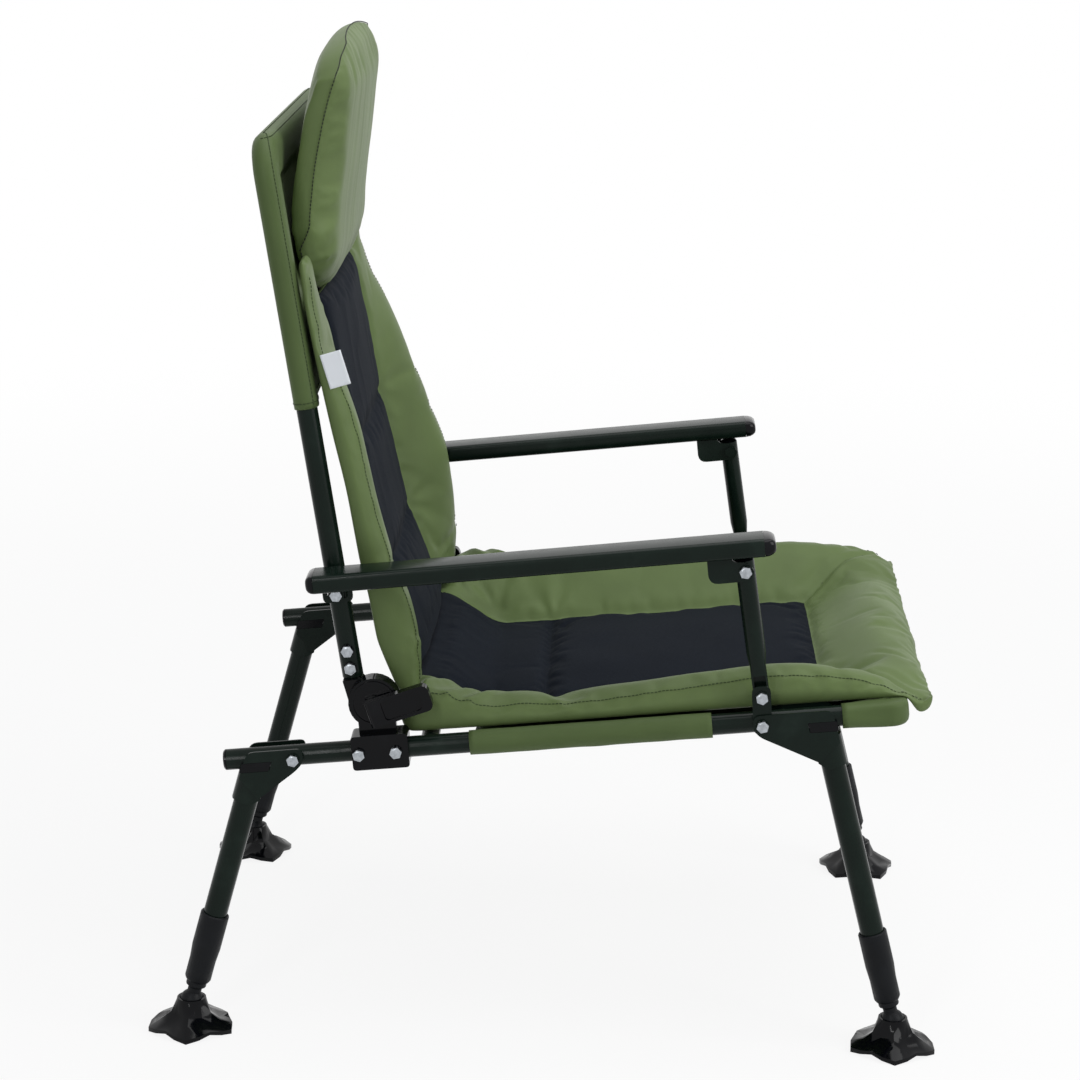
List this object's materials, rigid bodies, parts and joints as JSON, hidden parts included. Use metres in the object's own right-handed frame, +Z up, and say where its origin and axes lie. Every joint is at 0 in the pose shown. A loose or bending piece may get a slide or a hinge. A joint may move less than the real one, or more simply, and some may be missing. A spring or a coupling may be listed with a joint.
{
  "type": "reclining fishing chair",
  "caption": "Folding fishing armchair with a padded mattress and headrest, reclining back, telescopic splayed legs and swivelling mud feet.",
  "frame": {"origin": "on the floor, in the middle of the outline of the four feet", "axes": "+Z is up, the sitter looks along -Y, and +X is on the sitter's left"},
  "size_m": [0.629, 0.8314, 1.0467],
  "materials": {
    "frame_paint": "satin dark green-black powder coat",
    "gloss_black": "glossy black moulding",
    "matt_black": "fine-textured black moulding",
    "green_cloth": "satin olive green polyester",
    "mattress_cloth": "quilted polyester, charcoal panels with olive green borders",
    "white_cloth": "plain woven white tape"
  },
  "bodies": {
    "seat": {"seat_frame": "frame_paint", "rail_end_cap_right": "gloss_black", "rail_end_cap_left": "gloss_black", "hinge_clamp_right": "gloss_black", "hinge_clamp_left": "gloss_black", "arm_post_plate_right": "frame_paint", "arm_post_plate_left": "frame_paint", "seat_sling": "green_cloth", "seat_mattress": "mattress_cloth"},
    "back": {"back_frame": "frame_paint", "hinge_arm_right": "gloss_black", "hinge_arm_left": "gloss_black", "back_mattress": "mattress_cloth", "headrest_pillow": "green_cloth", "back_hood": "green_cloth", "sewn_tag": "white_cloth"},
    "post_right": {"arm_post_right": "frame_paint", "arm_post_cap_right": "gloss_black"},
    "post_left": {"arm_post_left": "frame_paint", "arm_post_cap_left": "gloss_black"},
    "arm_right": {"armrest_right": "frame_paint", "armrest_cap_rear_right": "gloss_black", "armrest_cap_front_right": "gloss_black", "arm_ear_rear_right": "frame_paint", "arm_bracket_front_right": "frame_paint"},
    "arm_left": {"armrest_left": "frame_paint", "armrest_cap_rear_left": "gloss_black", "armrest_cap_front_left": "gloss_black", "arm_ear_rear_left": "frame_paint", "arm_bracket_front_left": "frame_paint"},
    "leg_rear_right": {"leg_bracket_rear_right": "frame_paint", "leg_tube_rear_right": "frame_paint", "leg_saddle_rear_right": "gloss_black", "leg_sleeve_rear_right": "matt_black"},
    "leg_rear_left": {"leg_bracket_rear_left": "frame_paint", "leg_tube_rear_left": "frame_paint", "leg_saddle_rear_left": "gloss_black", "leg_sleeve_rear_left": "matt_black"},
    "leg_front_right": {"leg_bracket_front_right": "frame_paint", "leg_tube_front_right": "frame_paint", "leg_saddle_front_right": "gloss_black", "leg_sleeve_front_right": "matt_black"},
    "leg_front_left": {"leg_bracket_front_left": "frame_paint", "leg_tube_front_left": "frame_paint", "leg_saddle_front_left": "gloss_black", "leg_sleeve_front_left": "matt_black"},
    "stem_rear_right": {"foot_stem_rear_right": "matt_black"},
    "stem_rear_left": {"foot_stem_rear_left": "matt_black"},
    "stem_front_right": {"foot_stem_front_right": "matt_black"},
    "stem_front_left": {"foot_stem_front_left": "matt_black"},
    "foot_rear_right": {"mud_foot_rear_right": "gloss_black"},
    "foot_rear_left": {"mud_foot_rear_left": "gloss_black"},
    "foot_front_right": {"mud_foot_front_right": "gloss_black"},
    "foot_front_left": {"mud_foot_front_left": "gloss_black"},
    "lever_right": {"cam_lever_right": "gloss_black"},
    "lever_left": {"cam_lever_left": "gloss_black"}
  },
  "joints": [
    {"name": "back_recline", "type": "hinge", "parent": "seat", "child": "back", "pos_m": [0, 0.17859, 0.36785], "axis": [1, 0, 0], "range_deg": [-25, 85], "deforming": ["back_mattress"]},
    {"name": "arm_post_right_swing", "type": "hinge", "parent": "seat", "child": "post_right", "pos_m": [-0.275, -0.22034, 0.38821], "axis": [1, 0, 0], "range_deg": [-23.8, 80.9]},
    {"name": "arm_post_left_swing", "type": "hinge", "parent": "seat", "child": "post_left", "pos_m": [0.275, -0.22034, 0.38821], "axis": [1, 0, 0], "range_deg": [-23.8, 80.9]},
    {"name": "armrest_right_swing", "type": "hinge", "parent": "post_right", "child": "arm_right", "pos_m": [-0.275, -0.19885, 0.52233], "axis": [1, 0, 0], "range_deg": [-76.6, 22.6]},
    {"name": "armrest_left_swing", "type": "hinge", "parent": "post_left", "child": "arm_left", "pos_m": [0.275, -0.19885, 0.52233], "axis": [1, 0, 0], "range_deg": [-76.6, 22.6]},
    {"name": "leg_rear_right_fold", "type": "hinge", "parent": "seat", "child": "leg_rear_right", "pos_m": [-0.268, 0.261, 0.30844], "axis": [1, 0, 0], "range_deg": [-105, 0]},
    {"name": "leg_rear_left_fold", "type": "hinge", "parent": "seat", "child": "leg_rear_left", "pos_m": [0.268, 0.261, 0.30844], "axis": [1, 0, 0], "range_deg": [-105, 0]},
    {"name": "leg_front_right_fold", "type": "hinge", "parent": "seat", "child": "leg_front_right", "pos_m": [-0.268, -0.22191, 0.35851], "axis": [1, 0, 0], "range_deg": [0, 95]},
    {"name": "leg_front_left_fold", "type": "hinge", "parent": "seat", "child": "leg_front_left", "pos_m": [0.268, -0.22191, 0.35851], "axis": [1, 0, 0], "range_deg": [0, 95]},
    {"name": "stem_rear_right_extend", "type": "slide", "parent": "leg_rear_right", "child": "stem_rear_right", "axis": [0, 0.2538, -0.9673], "range_m": [0, 0.09]},
    {"name": "stem_rear_left_extend", "type": "slide", "parent": "leg_rear_left", "child": "stem_rear_left", "axis": [0, 0.2538, -0.9673], "range_m": [0, 0.09]},
    {"name": "stem_front_right_extend", "type": "slide", "parent": "leg_front_right", "child": "stem_front_right", "axis": [0, -0.2538, -0.9673], "range_m": [0, 0.09]},
    {"name": "stem_front_left_extend", "type": "slide", "parent": "leg_front_left", "child": "stem_front_left", "axis": [0, -0.2538, -0.9673], "range_m": [0, 0.09]},
    {"name": "foot_rear_right_tilt", "type": "hinge", "parent": "stem_rear_right", "child": "foot_rear_right", "pos_m": [-0.268, 0.37152, 0.031], "axis": [1, 0, 0], "range_deg": [-20, 20]},
    {"name": "foot_rear_left_tilt", "type": "hinge", "parent": "stem_rear_left", "child": "foot_rear_left", "pos_m": [0.268, 0.37152, 0.031], "axis": [1, 0, 0], "range_deg": [-20, 20]},
    {"name": "foot_front_right_tilt", "type": "hinge", "parent": "stem_front_right", "child": "foot_front_right", "pos_m": [-0.268, -0.37152, 0.031], "axis": [1, 0, 0], "range_deg": [-20, 20]},
    {"name": "foot_front_left_tilt", "type": "hinge", "parent": "stem_front_left", "child": "foot_front_left", "pos_m": [0.268, -0.37152, 0.031], "axis": [1, 0, 0], "range_deg": [-20, 20]},
    {"name": "cam_lever_right_open", "type": "hinge", "parent": "seat", "child": "lever_right", "pos_m": [-0.2807, 0.17776, 0.3599], "axis": [0, -0.3407, -0.9402], "range_deg": [0, 100]},
    {"name": "cam_lever_left_open", "type": "hinge", "parent": "seat", "child": "lever_left", "pos_m": [0.2807, 0.17776, 0.3599], "axis": [0, 0.3407, 0.9402], "range_deg": [0, 100]}
  ],
  "couplings": [
    {"joint": "arm_post_right_swing", "follows": "back_recline", "ratio": 0.951},
    {"joint": "arm_post_left_swing", "follows": "back_recline", "ratio": 0.951},
    {"joint": "armrest_right_swing", "follows": "back_recline", "ratio": -0.9005},
    {"joint": "armrest_left_swing", "follows": "back_recline", "ratio": -0.9005}
  ]
}
